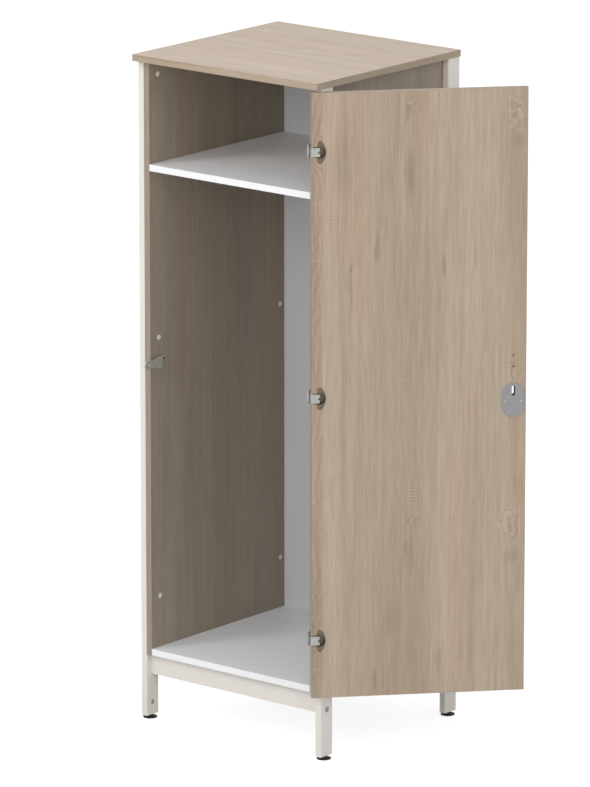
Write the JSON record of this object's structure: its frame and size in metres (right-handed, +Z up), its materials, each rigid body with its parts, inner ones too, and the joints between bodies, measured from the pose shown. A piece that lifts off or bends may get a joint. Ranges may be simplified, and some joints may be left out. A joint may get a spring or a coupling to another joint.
{
  "type": "single door wardrobe",
  "caption": "Tall single door wardrobe on a tube frame with disc feet, hat shelf, hanging rail, wide-opening pin hinges and a hasp that passes through a slot in the door.",
  "frame": {"origin": "on the floor, midway between the four posts, which is the centre of the four feet", "axes": "+X to the right seen from the front, +Y to the back, +Z up"},
  "size_m": [1.0519, 0.6555, 1.9],
  "materials": {
    "oak_board": "pale oak melamine",
    "white_board": "white melamine",
    "dowel_wood": "plain beech",
    "frame_paint": "satin off-white",
    "zinc_steel": "zinc plated",
    "bronze_steel": "dark bronze",
    "hasp_steel": "dull zinc",
    "black_plastic": "black",
    "cap_plastic": "white"
  },
  "bodies": {
    "carcass": {"post_front_left": "frame_paint", "post_front_right": "frame_paint", "post_rear_left": "frame_paint", "post_rear_right": "frame_paint", "post_top_plugs": "black_plastic", "foot_plugs": "black_plastic", "front_stretcher": "frame_paint", "rear_stretcher": "frame_paint", "stretcher_plugs": "black_plastic", "stretcher_bolts": "zinc_steel", "left_side_panel": "oak_board", "right_side_panel": "oak_board", "top_panel": "oak_board", "bottom_board": "white_board", "back_panel": "white_board", "shelf": "white_board", "cam_bolts": "zinc_steel", "cam_housings": "zinc_steel", "dowels": "dowel_wood", "panel_screws": "zinc_steel", "panel_nuts": "zinc_steel", "screw_caps": "cap_plastic", "back_screws": "zinc_steel", "hanging_rail": "zinc_steel", "rail_socket_left": "zinc_steel", "rail_socket_right": "zinc_steel", "rail_socket_screws": "zinc_steel", "hinge_leaf_top": "zinc_steel", "hinge_leaf_middle": "zinc_steel", "hinge_leaf_bottom": "zinc_steel", "hinge_leaf_screws": "zinc_steel", "hinge_pins": "zinc_steel", "hasp": "hasp_steel", "hasp_screw": "zinc_steel"},
    "door": {"door_panel": "oak_board", "hinge_cup_top": "bronze_steel", "hinge_cup_middle": "bronze_steel", "hinge_cup_bottom": "bronze_steel", "hinge_arm_top": "zinc_steel", "hinge_arm_middle": "zinc_steel", "hinge_arm_bottom": "zinc_steel", "hinge_cup_screws": "bronze_steel", "hinge_arm_screws": "zinc_steel", "lock_plate_inner": "zinc_steel", "lock_plate_outer": "zinc_steel", "lock_plate_screws": "zinc_steel", "door_handle": "zinc_steel", "handle_screws": "zinc_steel"},
    "foot_front_left": {"foot_front_left": "black_plastic"},
    "foot_front_right": {"foot_front_right": "black_plastic"},
    "foot_rear_left": {"foot_rear_left": "black_plastic"},
    "foot_rear_right": {"foot_rear_right": "black_plastic"}
  },
  "joints": [
    {"name": "door_hinge", "type": "hinge", "parent": "carcass", "child": "door", "pos_m": [0.301, -0.326, 1.032], "axis": [0, 0, 1], "range_deg": [-228, 3]},
    {"name": "foot_front_left_level", "type": "slide", "parent": "carcass", "child": "foot_front_left", "axis": [0, 0, -1], "range_m": [0, 0.012]},
    {"name": "foot_front_right_level", "type": "slide", "parent": "carcass", "child": "foot_front_right", "axis": [0, 0, -1], "range_m": [0, 0.012]},
    {"name": "foot_rear_left_level", "type": "slide", "parent": "carcass", "child": "foot_rear_left", "axis": [0, 0, -1], "range_m": [0, 0.012]},
    {"name": "foot_rear_right_level", "type": "slide", "parent": "carcass", "child": "foot_rear_right", "axis": [0, 0, -1], "range_m": [0, 0.012]}
  ]
}
